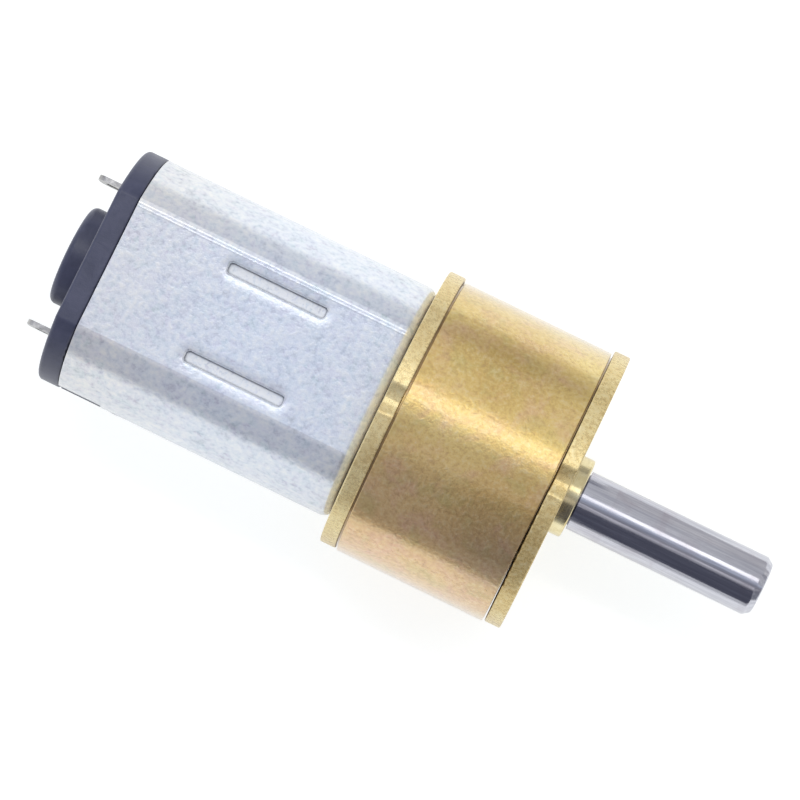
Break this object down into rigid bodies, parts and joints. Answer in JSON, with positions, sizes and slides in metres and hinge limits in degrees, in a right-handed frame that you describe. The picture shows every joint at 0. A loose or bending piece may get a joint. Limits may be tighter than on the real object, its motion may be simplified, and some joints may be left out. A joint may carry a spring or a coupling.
{
  "type": "gearmotor",
  "caption": "Small geared direct-current motor with a flat-sided can, a round brass gearbox and a plain round output shaft, all on one axis.",
  "frame": {"origin": "centre of the gearbox's front face, on the shaft axis, midway between the two front screw holes", "axes": "+X out along the output shaft, +Z the outward normal of the can flat on the side with the plate notches, +Y completes the right-handed set"},
  "size_m": [0.0368, 0.0143, 0.0142],
  "materials": {
    "can_steel": "bright plated, drawn",
    "cap_plastic": "matte moulded, slate black",
    "terminal_metal": "tin plated",
    "spring_bronze": "rolled strip",
    "brush_carbon": "matte",
    "magnet_ferrite": "ground, dull",
    "bush_bronze": "sintered, oiled",
    "arbor_steel": "ground",
    "core_steel": "stacked laminations",
    "winding_copper": "enamelled wire",
    "hub_plastic": "moulded",
    "commutator_copper": "polished",
    "suppressor_ceramic": "fired, matte",
    "washer_plastic": "punched, translucent white",
    "plate_brass": "matte, stamped",
    "sleeve_brass": "rolled, glossy with patina",
    "bush_brass": "turned, polished",
    "shaft_steel": "ground and polished",
    "gear_brass": "hobbed",
    "gear_steel": "hobbed",
    "pin_steel": "ground",
    "spacer_brass": "cut tube",
    "screw_steel": "zinc plated"
  },
  "bodies": {
    "housing": {"gearbox_front_plate": "plate_brass", "gearbox_rear_plate": "plate_brass", "gearbox_sleeve": "sleeve_brass", "output_bush": "bush_brass", "plate_screws": "screw_steel", "motor_screws": "screw_steel", "spacer_pillars": "spacer_brass", "gear_pin_a": "pin_steel", "gear_pin_b": "pin_steel", "gear_pin_washers": "spacer_brass", "gear_pin_spacers": "spacer_brass", "motor_can": "can_steel", "motor_end_cap": "cap_plastic", "terminal_left": "terminal_metal", "terminal_right": "terminal_metal", "brush_arm_left": "spring_bronze", "brush_arm_right": "spring_bronze", "brush_pad_left": "brush_carbon", "brush_pad_right": "brush_carbon", "magnet_left": "magnet_ferrite", "magnet_right": "magnet_ferrite", "motor_front_bush": "bush_bronze", "motor_rear_bush": "bush_bronze"},
    "armature": {"motor_shaft": "arbor_steel", "armature_core": "core_steel", "winding_1": "winding_copper", "winding_2": "winding_copper", "winding_3": "winding_copper", "commutator_hub": "hub_plastic", "commutator_segments": "commutator_copper", "suppressor_ring": "suppressor_ceramic", "motor_thrust_washers": "washer_plastic", "motor_pinion": "gear_brass"},
    "gear_stage_1": {"stage_1_wheel": "gear_brass", "stage_1_pinion": "gear_steel"},
    "gear_stage_2": {"stage_2_wheel": "gear_brass", "stage_2_pinion": "gear_steel"},
    "gear_stage_3": {"stage_3_wheel": "gear_brass", "stage_3_pinion": "gear_steel"},
    "output": {"output_shaft": "shaft_steel", "output_wheel": "gear_brass", "output_thrust_washer": "spacer_brass"}
  },
  "joints": [
    {"name": "armature_spin", "type": "hinge", "parent": "housing", "child": "armature", "pos_m": [-0.0165, 0, 0], "axis": [1, 0, 0], "continuous": true},
    {"name": "stage_1_spin", "type": "hinge", "parent": "housing", "child": "gear_stage_1", "pos_m": [-0.0067, -0.00312, 0.0018], "axis": [1, 0, 0], "continuous": true},
    {"name": "stage_2_spin", "type": "hinge", "parent": "housing", "child": "gear_stage_2", "pos_m": [-0.0067, -0.00312, -0.0018], "axis": [1, 0, 0], "continuous": true},
    {"name": "stage_3_spin", "type": "hinge", "parent": "housing", "child": "gear_stage_3", "pos_m": [-0.0067, -0.00312, 0.0018], "axis": [1, 0, 0], "continuous": true},
    {"name": "output_spin", "type": "hinge", "parent": "housing", "child": "output", "pos_m": [0, 0, 0], "axis": [1, 0, 0], "continuous": true}
  ],
  "couplings": [
    {"joint": "stage_1_spin", "follows": "armature_spin", "ratio": -0.38462},
    {"joint": "stage_2_spin", "follows": "armature_spin", "ratio": 0.14793},
    {"joint": "stage_3_spin", "follows": "armature_spin", "ratio": -0.056896},
    {"joint": "output_spin", "follows": "armature_spin", "ratio": 0.021883}
  ]
}
